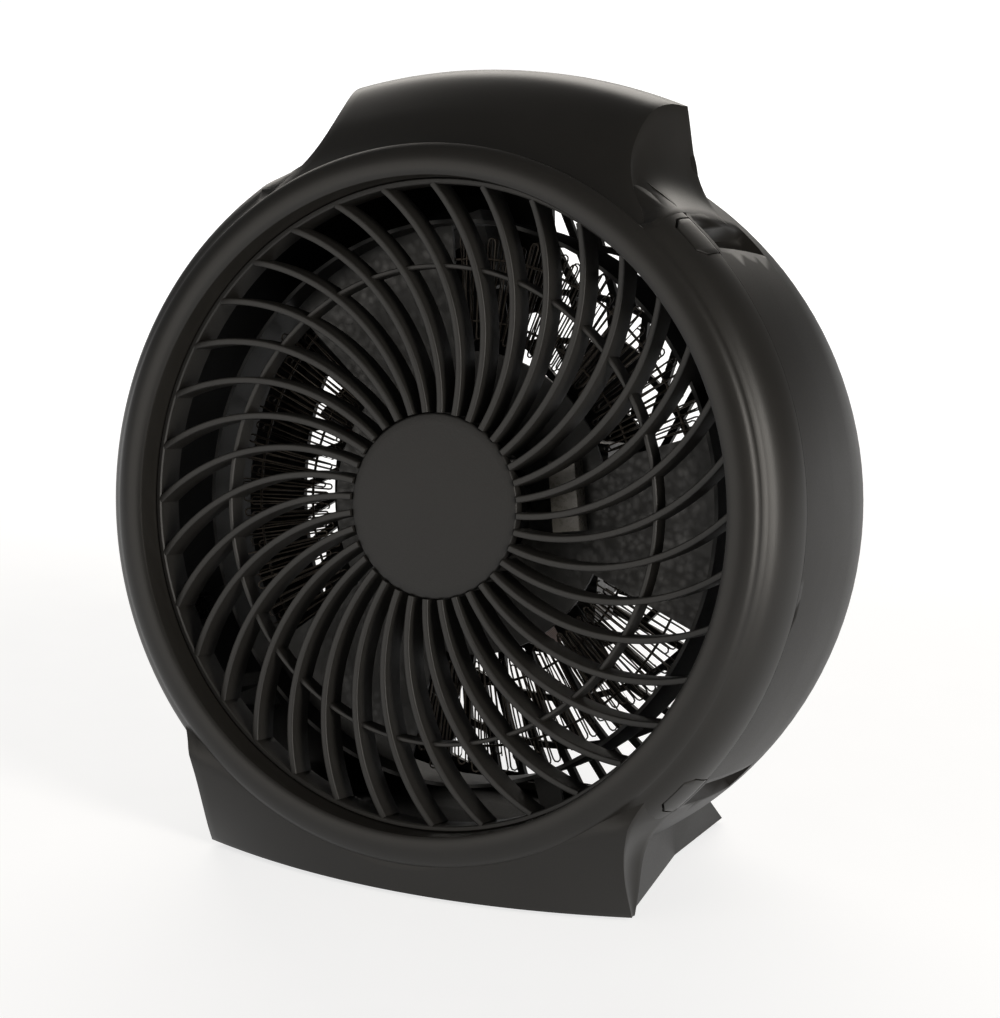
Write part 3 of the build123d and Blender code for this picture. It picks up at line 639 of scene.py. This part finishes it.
# --- the casing ------------------------------------------------------------------------------
@dataclass
class FrontMoulding:
    """Bezel, shoulder, handle block and base front, sizes in millimetres.

    Stations pair a depth behind the bezel face, or a height above the floor, with a size there.
    """

    opening: float = 101.0
    bezel: float = 111.2
    lip: Stations = ((0.0, 1.2), (0.3, 0.6), (1.1, 0.15))
    lip_depth: float = 18.5
    seam: float = 19.5
    widest: float = 119.0
    shoulder_start: float = 3.6
    seam_gap: float = 0.2
    wall: float = 2.2
    base_wall: float = 1.8
    floor_gap: float = 1.5
    clearance: float = 0.3
    edge_bevel: float = 0.6
    ring_steps: int = 288
    handle_front: float = 4.0
    handle_rear: float = 50.0
    crown_low: float = -55.5
    crown: Stations = (
        (4.0, 103.0), (8.0, 107.0), (12.5, 112.0), (21.0, 123.0), (32.0, 133.0), (41.0, 136.4), (50.0, 137.2),
    )
    ridge: Stations = (
        (4.0, 66.0), (8.7, 62.0), (12.5, 57.0), (18.0, 53.2), (25.0, 52.2), (32.0, 52.6), (41.0, 54.2),
        (50.0, 56.4),
    )
    flare_end: Stations = ((4.0, 53.0), (20.0, 53.4), (44.0, 53.0), (50.0, 52.0))
    drum: Stations = (
        (3.6, 111.3), (6.0, 114.3), (9.5, 116.6), (14.0, 118.2), (19.5, 119.0), (44.0, 118.7), (50.0, 118.5),
    )
    handle_pull: float = 0.42
    corner_x: Stations = (
        (0.0, 75.03), (6.0, 74.95), (14.0, 74.85), (18.0, 75.0), (22.0, 75.27), (26.0, 75.76), (30.0, 76.54),
        (34.0, 77.5), (38.0, 79.0), (42.0, 81.0), (48.0, 84.0),
    )
    seam_x: Stations = (
        (0.0, 74.8), (7.0, 75.4), (14.0, 75.7), (17.6, 75.9), (21.0, 76.4), (25.2, 77.8), (28.2, 79.7),
        (32.7, 83.2), (35.6, 86.2), (40.0, 90.2), (48.0, 96.5),
    )
    base_front: float = 17.3
    base_bulge: float = 14.1
    base_half: float = 75.0
    base_tuck: tuple[float, float] = (0.4803, 0.005386)
    base_top_radius: float = 110.2
    base_top_half: float = 82.0
    lean_share: float = 0.984
    least_depth: float = 2.7
    merge_height: float = 34.0
    strip_hollow: float = 1.1
    tab_angles: tuple[float, ...] = (48.7, -41.0, 131.3, 221.0)
    tab_half: float = 3.4
    tab_length: float = 9.5
    tab_gap: float = 0.55
    tab_corner: float = 2.6
    tab_bevel: float = 0.35
    slot_floor: float = 108.0
    slot_height: float = 16.0

    def crown_height(self, x: float, depth: float) -> float:
        """Return the height of the handle's front or top at a width and depth."""
        radius = along(self.crown, depth) - self.crown_low
        return self.crown_low + math.sqrt(max(radius**2 - x**2, 0.0))

    def ring(self) -> bpy.types.Object:
        """Spin the bezel and the shoulder, drawn in where the handle block covers them."""
        steps = 14
        reach = self.seam - self.seam_gap - self.shoulder_start
        depths = [self.shoulder_start + reach * step / steps for step in range(steps + 1)]
        shoulder = [(along(self.drum, depth), depth) for depth in depths]
        inner = [(radius - self.wall, depth + 0.4) for radius, depth in reversed(shoulder[4:-1])]
        face = through((self.opening + 2.6, 0.0), (self.bezel - 3.4, 0.55), (self.bezel - 1.0, 1.8), 6)
        profile = [
            (self.opening, self.lip_depth),
            *((self.opening + offset, depth) for offset, depth in self.lip),
            *face, (self.bezel - 0.1, 3.1), *shoulder, (self.widest - 0.15, self.seam),
            (self.widest - self.wall, self.seam), *inner, (self.bezel - 2.0, 6.4),
            (self.opening + self.wall, 6.2), (self.opening + self.wall, self.lip_depth),
        ]
        piece = spun("bezel_ring", profile, self.ring_steps)
        for corner in piece.data.vertices:
            corner.co = self.tucked(corner.co)
            corner.co.z = max(corner.co.z, self.clearance * MM)
        return piece

    def tucked(self, spot: Vector) -> Vector:
        """Draw a corner of the shoulder in where the handle block covers it.

        Args:
            spot: the corner's place in metres.

        Returns:
            The same place, or one just under the handle block's skin.
        """
        x, up, depth = fan_place(spot)
        radius = math.hypot(x, up)
        end = math.radians(along(self.flare_end, depth) + 1.0)
        angle = math.atan2(up, abs(x))
        if angle < end or depth < 3.0 or radius < self.bezel - 0.1:
            return spot
        blend = min((angle - end) / math.radians(2.5), 1.0)
        ridge_x = along(self.ridge, depth)
        ridge_up = self.crown_height(ridge_x, depth)
        share = min((angle - end) / max(math.atan2(ridge_up, ridge_x) - end, 0.01), 1.0)
        drop = max(radius - math.hypot(ridge_x, ridge_up), 0.0)
        limit = radius - 0.8 * blend - drop * min(1.0, 1.5 * share) - 0.7 * share
        if abs(x) < ridge_x:
            limit = min(limit, (self.crown_height(x, depth) - 0.9) / math.sin(angle))
        limit = max(limit, self.bezel - 0.5)
        return place(x * limit / radius, up * limit / radius, depth)

    def slot(self, angle: float, gap: float, corner: float) -> bpy.types.Object:
        """Model a block as long and wide as one snap tab and its gap.

        Args:
            angle: the tab's place around the fan axis, degrees.
            gap: room left around the tab.
            corner: width cut off each front corner.

        Returns:
            The closed block, which stands through the shoulder's wall.
        """
        half = math.radians(self.tab_half) * self.widest + gap
        front = self.seam - self.tab_length - gap
        rear = self.seam + self.seam_gap
        cut = front + 1.2 * corner
        shape = [
            (-half, rear), (-half, cut), (-half + corner, front),
            (half - corner, front), (half, cut), (half, rear),
        ]
        turn = math.radians(angle)
        corners = [
            place(
                self.slot_floor * math.cos(turn) - side * math.sin(turn),
                self.slot_floor * math.sin(turn) + side * math.cos(turn), depth,
            )
            for side, depth in shape
        ]
        piece = outline("tab_slot", corners, filled=True)
        activate(piece)
        bpy.ops.object.mode_set(mode="EDIT")
        bpy.ops.mesh.select_all(action="SELECT")
        out = polar(self.slot_height, angle, 0.0) - polar(0.0, angle, 0.0)
        bpy.ops.mesh.extrude_region_move(TRANSFORM_OT_translate={"value": out})
        bpy.ops.object.mode_set(mode="OBJECT")
        settle(piece)
        return piece

    def tabs(self, ring: bpy.types.Object) -> list[bpy.types.Object]:
        """Cut the snap tabs that fill the slots out of copies of the whole ring."""
        tabs = []
        for angle in self.tab_angles:
            tab = twin(ring)
            carve(tab, self.slot(angle, 0.0, self.tab_corner), "INTERSECT")
            bevel(tab, self.tab_bevel, 50)
            tabs.append(tab)
        return tabs

    def handle(self) -> bpy.types.Object:
        """Drape the handle block from the drum over both sides and the crown."""
        side, top, rows = 14, 28, 34
        columns = 2 * side + top

        def where(column: int, row: int) -> Vector:
            """Return one corner of the block."""
            depth = self.handle_front + (self.handle_rear - self.handle_front) * row / rows
            ridge_x = along(self.ridge, depth)
            if side <= column <= side + top:
                x = ridge_x * (1 - 2 * (column - side) / top)
                return place(x, self.crown_height(x, depth), depth)
            right = column < side
            step = column if right else columns - column
            end = math.radians(along(self.flare_end, depth))
            radius = along(self.drum, depth) + (0.05 if step else -1.6)
            foot = Vector((radius * math.cos(end), radius * math.sin(end)))
            head = Vector((ridge_x, self.crown_height(ridge_x, depth)))
            reach = (head - foot).length * self.handle_pull
            low = foot + Vector((-math.sin(end), math.cos(end))) * reach
            high = head + Vector((0.16 + 0.10 * (depth / self.handle_rear), -1.0)).normalized() * reach
            share = max(step - 1, 0) / (side - 1)
            rest = 1 - share
            spot = foot * rest**3 + low * 3 * share * rest**2 + high * 3 * share**2 * rest + head * share**3
            return place(spot.x if right else -spot.x, spot.y, depth)

        piece = draped("handle_block", columns, rows, where)
        face_away(piece, place(0, 60, 25))
        apply(piece, "SOLIDIFY", thickness=self.wall * MM, offset=-1.0, use_even_offset=False)
        bevel(piece, self.edge_bevel, 42)
        return piece

    def base_corner(self, across: float, strip: float, rise: float) -> Vector:
        """Return one point of the base's skin.

        Args:
            across: place along the front, from 1 at the right corner edge to -1 at the left.
            strip: share of the way back along a side strip, 0 on the front.
            rise: share of the way up from the floor.

        Returns:
            The point in metres.
        """
        under_bezel = math.sqrt(self.base_top_radius**2 - (across * self.base_top_half) ** 2)
        top = AXIS_POINT.z - self.lean_share * under_bezel - 0.5
        z = self.floor_gap + (top - self.floor_gap) * rise
        tuck = self.base_tuck[0] * z - self.base_tuck[1] * z * z
        x = across * along(self.corner_x, z)
        y = -self.base_front + (self.base_bulge - tuck) * (x / self.base_half) ** 2
        offset = Vector((x, y, z - AXIS_POINT.z))
        up, depth = offset.dot(AXIS_UP), offset.dot(AXIS_BACK)
        depth = max(depth, self.least_depth + max(z - self.merge_height, 0.0) * 0.35)
        if strip == 0.0:
            return place(x, up, depth)
        end_depth = self.seam - 0.1
        end_up = (z - AXIS_POINT.z + end_depth * math.sin(LEAN)) / math.cos(LEAN)
        end_x = along(self.seam_x, z)
        if z > 24.0:
            on_drum = math.sqrt(max((self.widest - 0.4) ** 2 - end_up**2, 0.0))
            end_x = min(end_x, on_drum + 0.3 + 0.6 * max(36.0 - z, 0.0))
        hollow = self.strip_hollow * math.sin(math.pi * strip) * max(0.0, 1 - abs(z - 20) / 24)
        x_here = abs(x) + (end_x - abs(x)) * strip - hollow
        return place(
            math.copysign(x_here, across), up + (end_up - up) * strip, depth + (end_depth - depth) * strip
        )

    def base(self) -> bpy.types.Object:
        """Drape the base's front and its two side strips, and close it underneath."""
        strip, front, rows = 7, 44, 22

        def where(column: int, row: int) -> Vector:
            """Return one corner of the base."""
            on_front = min(max(column, strip), strip + front)
            across = 1 - 2 * ((on_front - strip) / front)
            return self.base_corner(across, abs(column - on_front) / strip, row / rows)

        piece = draped("base_front", 2 * strip + front, rows, where)
        lowest = (self.floor_gap + 0.05) * MM
        activate(piece)
        bpy.ops.object.mode_set(mode="EDIT")
        bpy.ops.mesh.select_all(action="DESELECT")
        bpy.ops.object.mode_set(mode="OBJECT")
        for corner in piece.data.vertices:
            corner.select = corner.co.z < lowest
        bpy.ops.object.mode_set(mode="EDIT")
        bpy.ops.mesh.select_mode(type="VERT")
        bpy.ops.mesh.edge_face_add()
        bpy.ops.object.mode_set(mode="OBJECT")
        face_away(piece, place(0, -95, 14))
        apply(piece, "SOLIDIFY", thickness=self.base_wall * MM, offset=-1.0)
        bevel(piece, self.edge_bevel, 42)
        return piece

    def build(self) -> list[bpy.types.Object]:
        """Model the whole moulding as one piece.

        Returns:
            The four snap tabs that belong to the rear moulding.
        """
        handle = self.handle()
        base = self.base()
        ring = self.ring()
        tabs = self.tabs(ring)
        for angle in self.tab_angles:
            carve(ring, self.slot(angle, self.tab_gap, self.tab_corner), "DIFFERENCE")
        moulding = join("front_moulding", [ring, handle, base])
        smooth(moulding, 32)
        finish_piece(moulding, SHELL_BLACK, "housing", "shell", "front_shell")
        return tabs


@dataclass
class RearMoulding:
    """The rear shell with its six-sided snap tabs, sizes in millimetres."""

    front: FrontMoulding
    tab_room: float = 1.2

    def build(self, tabs: list[bpy.types.Object]) -> None:
        """Cut the plain tabs off a copy of the rear shell and give it the shaped ones."""
        piece = twin(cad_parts["rear_shell"])
        piece.name = piece.data.name = "rear_moulding"
        settle(piece)
        for angle in self.front.tab_angles:
            carve(piece, self.front.slot(angle, self.tab_room, 0.0), "DIFFERENCE")
        rear = join("rear_moulding", [piece, *tabs])
        smooth(rear, 32)
        finish_piece(rear, REAR_BLACK, "housing", "shell", "rear_shell")
        self.paint(rear)

    def paint(self, rear: bpy.types.Object) -> None:
        """Give the inner wall its rougher, duller finish, darkened in colour as painted shade inside the
        shell, and the tabs the front moulding's finish.
        """
        rear.data.materials.append(INSIDE_BLACK_PAINTED_SHADE.material())
        rear.data.materials.append(SHELL_BLACK.material())
        inner_wall = self.front.widest - 1.2
        for face in rear.data.polygons:
            offset = face.center / MM - AXIS_POINT
            depth = offset.dot(AXIS_BACK)
            radial = offset - AXIS_BACK * depth
            # Faces turned in towards the axis get the darker finish, which is painted shade inside the shell.
            if radial.length < inner_wall and face.normal.dot(radial.normalized()) < -0.3:
                face.material_index = 1
            elif depth < self.front.seam and radial.length > self.front.bezel:
                face.material_index = 2


# --- the front -------------------------------------------------------------------------------
@dataclass
class FrontGrille:
    """The swirl of vanes with its rim, hoop and hub cap, sizes in millimetres."""

    count: int = 36
    thickness: float = 2.1
    front: float = 9.0
    depth: float = 9.5
    root: float = 25.7
    start: float = 2.7
    turn: float = 63.8
    bend: float = 70.0
    rim: float = 100.8
    rim_wall: float = 1.8
    seam: float = 19.5
    hoop: float = 74.0
    cap: float = 28.7
    cap_front: float = 8.6
    edge: float = 0.5

    def vane(self) -> bpy.types.Object:
        """Sweep one vane's rounded section along its arc."""
        half = self.thickness / 2
        rear = self.front + self.depth
        middle = self.front + self.edge
        section = [(half, rear), (-half, rear)]
        inset = half - self.edge
        section += [(side - inset, back) for side, back in arc((0, middle), self.edge, 180, 270, 3)]
        section += [(side + inset, back) for side, back in arc((0, middle), self.edge, 270, 360, 3)]
        start = math.radians(self.start)
        corners = [
            place(
                self.root + (self.bend - side) * math.sin(start),
                self.bend - (self.bend - side) * math.cos(start), back,
            )
            for side, back in section
        ]
        piece = outline("vane", corners)
        activate(piece)
        bpy.ops.object.mode_set(mode="EDIT")
        bpy.ops.mesh.select_all(action="SELECT")
        bpy.ops.mesh.edge_face_add()
        bpy.ops.mesh.spin(
            steps=26, angle=math.radians(self.turn), center=place(self.root, self.bend, 0), axis=AXIS_BACK
        )
        bpy.ops.object.mode_set(mode="OBJECT")
        settle(piece)
        return piece

    def build(self) -> None:
        """Model the grille and its cap."""
        vanes = turned_copies(self.vane(), self.count)
        inner = self.rim - self.rim_wall
        rim = spun("rim", [
            (self.rim, self.seam), (inner, self.seam), (inner, self.front + 0.4), (inner + 0.4, self.front),
            (self.rim - 0.4, self.front), (self.rim, self.front + 0.4),
        ], 180)
        half = 0.7
        hoop_front = self.front + 2.0
        hoop = spun("hoop", [
            (self.hoop + half, hoop_front + 6.5), (self.hoop - half, hoop_front + 6.5),
            (self.hoop - half, hoop_front + 0.3), (self.hoop - half + 0.3, hoop_front),
            (self.hoop + half - 0.3, hoop_front), (self.hoop + half, hoop_front + 0.3),
        ], 144)
        hub = spun("hub", [(27.2, 16.6), (4.0, 16.6), (4.0, 12.9), (27.2, 12.9)], 96)
        grille = join("front_grille_vanes", [*vanes, rim, hoop, hub])
        smooth(grille)
        finish_piece(grille, GRILLE_BLACK, "housing", "grille", "front_grille")
        rear = self.cap_front + 4.0
        face = through(
            (0.4, self.cap_front), (self.cap / 2, self.cap_front + 0.35),
            (self.cap - 0.6, self.cap_front + 1.2), 12,
        )
        cap = spun("hub_cap_domed", [
            (0.4, rear), *face, (self.cap - 0.2, self.cap_front + 1.35), (self.cap, self.cap_front + 1.7),
            (self.cap, rear),
        ], 128)
        close_middle(cap)
        smooth(cap, 50)
        finish_piece(cap, CAP_GRAIN, "housing", "cap", "hub_cap")


def close_middle(piece: bpy.types.Object, reach: float = 0.6) -> None:
    """Close the pinholes left on a spun piece's axis.

    Args:
        piece: the spun piece, hollow along its axis.
        reach: radius in millimetres inside which corners are drawn together.
    """
    for corner in piece.data.vertices:
        offset = corner.co / MM - AXIS_POINT
        radial = offset - AXIS_BACK * offset.dot(AXIS_BACK)
        if radial.length < reach:
            corner.co = (AXIS_POINT + AXIS_BACK * offset.dot(AXIS_BACK)) * MM
    settle(piece)
    bpy.ops.object.mode_set(mode="EDIT")
    bpy.ops.mesh.select_all(action="SELECT")
    bpy.ops.mesh.dissolve_degenerate()
    bpy.ops.object.mode_set(mode="OBJECT")


@dataclass
class HeatingRibbons:
    """Zigzag resistance wires between the mica arms, sizes in millimetres."""

    arms: tuple[float, ...] = (0.0, 120.0, 240.0)
    spread: float = 38.0
    inner: float = 51.5
    outer: float = 83.0
    legs: int = 44
    radius: float = 0.28
    layers: tuple[float, ...] = (33.0, 37.4)
    thread_inset: float = 6.0
    thread_depth: float = 35.2
    thread_radius: float = 0.45

    def zigzag(self, name: str, middle: float, depth: float, shift: float) -> bpy.types.Object:
        """Lay one zigzag wire.

        Args:
            name: the wire's name.
            middle: the sector's middle angle, degrees.
            depth: depth of the layer.
            shift: share of a leg's pitch that this layer is moved by.

        Returns:
            The wire's mesh.
        """
        pitch = 2 * self.spread / self.legs
        route: list[Vector] = []
        for leg in range(self.legs):
            angle = middle - self.spread + (leg + shift) * pitch
            outward = leg % 2 == 0
            loop = self.outer if outward else self.inner
            wave = 2.2 * math.sin(leg * 1.9 + middle) + 1.0 * math.sin(leg * 4.3)
            reach = loop + wave if outward else loop + 0.4 * wave
            start = self.inner + 1.5 if outward else self.outer - 2.5
            sway = 0.35 * math.sin(leg * 2.7 + depth)
            bow = 0.8 * math.sin(leg * 1.3 + depth)
            route.append(polar(start, angle + sway * 0.2, depth))
            route.append(polar((start + reach) / 2, angle + sway, depth + bow))
            width = pitch * 0.5
            turn = reach * math.radians(width)
            for step in range(5):
                swing = math.pi * step / 4
                forward = math.sin(swing) * turn * (1 if outward else -1)
                across = (1 - math.cos(swing)) * width
                tip = reach - turn if outward else reach + turn
                route.append(polar(tip + forward, angle + across, depth))
        return wire(name, route, self.radius)

    def build(self) -> None:
        """Model one wire bundle for each CAD band."""
        for number, arm in enumerate(self.arms, start=1):
            middle = arm + 60.0
            wires = [
                self.zigzag(f"layer_{number}_{layer}", middle, depth, 0.3 + 0.5 * layer)
                for layer, depth in enumerate(self.layers)
            ]
            for radius in (self.inner + self.thread_inset, self.outer - self.thread_inset):
                first, sweep = middle - self.spread - 1, 2 * self.spread + 2
                route = [polar(radius, first + sweep * step / 24, self.thread_depth) for step in range(25)]
                wires.append(wire(f"thread_{number}", route, self.thread_radius))
            bundle = join(f"heating_ribbon_{number}", wires)
            smooth(bundle, 60)
            finish_piece(bundle, NICHROME, "housing", "nichrome", f"heating_band_{number}")


# --- surroundings ----------------------------------------------------------------------------
@dataclass
class Studio:
    """Pale floor, soft lights and the camera, sizes in metres."""

    floor: float = 14.0
    sensor: float = 36.0
    lens: float = 106.1
    warmth: Colour = (1.0, 0.95, 0.88)
    glow_reach: tuple[float, float] = (0.3, 1.2)
    glow: tuple[float, float] = (0.72, 0.98)
    camera_offset: Point = (419.1, -766.9, 216.6)
    camera_aim: Point = (-0.4408, 0.8646, -0.2412)

    def build_floor(self) -> None:
        """Lay the plain pale floor, whose soft glow grows away from the object."""
        clear_selection()
        bpy.ops.mesh.primitive_plane_add(size=self.floor, location=(0, 0, 0))
        floor = bpy.context.object
        floor.name = "studio_floor"
        PALE_FLOOR.dress(floor)
        shader = floor.data.materials[0].node_tree.nodes["Principled BSDF"]
        shader.inputs["Emission Color"].default_value = (1.0, 1.0, 1.0, 1.0)
        tree = floor.data.materials[0].node_tree
        reach = tree.nodes.new("ShaderNodeVectorMath")
        reach.operation = "LENGTH"
        glow = tree.nodes.new("ShaderNodeMapRange")
        for key, value in zip(("From Min", "From Max", "To Min", "To Max"), (*self.glow_reach, *self.glow)):
            glow.inputs[key].default_value = value
        tree.links.new(tree.nodes["Texture Coordinate"].outputs["Object"], reach.inputs[0])
        tree.links.new(reach.outputs["Value"], glow.inputs["Value"])
        tree.links.new(glow.outputs["Result"], shader.inputs["Emission Strength"])

    def panel(self, name: str, stand_at: Point, aim: Point, size: tuple[float, float], power: float) -> None:
        """Hang one soft rectangular light.

        Args:
            name: the light's name.
            stand_at: where it hangs.
            aim: the point that it faces.
            size: its width and height.
            power: its power in watts.
        """
        lamp = bpy.data.lights.new(name, "AREA")
        lamp.shape = "RECTANGLE"
        lamp.size, lamp.size_y = size
        lamp.energy = power
        lamp.color = self.warmth
        stand = bpy.data.objects.new(name, lamp)
        bpy.context.scene.collection.objects.link(stand)
        stand.location = stand_at
        stand.rotation_euler = (Vector(aim) - Vector(stand_at)).to_track_quat("-Z", "Y").to_euler()

    def build_lights(self) -> None:
        """Hang the panels and set the dim surroundings."""
        self.panel("overhead", (-0.9, 1.9, 1.15), (0.0, 0.0, 0.1), (2.4, 1.1), 27.0)
        self.panel("front_left", (-1.15, -2.1, 0.45), (0.0, 0.0, 0.12), (1.9, 1.5), 17.0)
        self.panel("right_front", (1.75, -0.75, 0.55), (0.05, 0.0, 0.12), (0.5, 1.3), 34.0)
        world = bpy.data.worlds.new("studio_air")
        bpy.context.scene.world = world
        world.use_nodes = True
        air = world.node_tree.nodes["Background"]
        air.inputs["Color"].default_value = (1.0, 1.0, 1.0, 1.0)
        air.inputs["Strength"].default_value = 0.14

    def build_camera(self) -> None:
        """Stand the camera where the front right is seen from slightly above."""
        lens = bpy.data.cameras.new("studio_camera")
        lens.sensor_width = self.sensor
        lens.sensor_fit = "HORIZONTAL"
        lens.lens = self.lens
        lens.clip_end = 60.0
        stand = bpy.data.objects.new("studio_camera", lens)
        bpy.context.scene.collection.objects.link(stand)
        stand.location = (AXIS_POINT + Vector(self.camera_offset)) * MM
        stand.rotation_euler = Vector(self.camera_aim).to_track_quat("-Z", "Y").to_euler()
        bpy.context.scene.camera = stand
        bpy.context.scene.view_settings.view_transform = "Standard"


def dress_frame() -> None:
    """Give every CAD node that stays in sight its finish."""
    for name, finish in CAD_FINISHES.items():
        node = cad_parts[name]
        finish.dress(node)
        smooth(node, 30)
        LOG.info("%s: %s", name, finish.name)


def main() -> None:
    """Build the looks in order, then the surroundings."""
    logging.basicConfig(level=logging.INFO, format="%(name)s %(message)s")
    clear_selection()
    dress_frame()
    front = FrontMoulding()
    RearMoulding(front).build(front.build())
    FrontGrille().build()
    HeatingRibbons().build()
    studio = Studio()
    studio.build_floor()
    studio.build_lights()
    studio.build_camera()


if __name__ == "__main__":
    main()
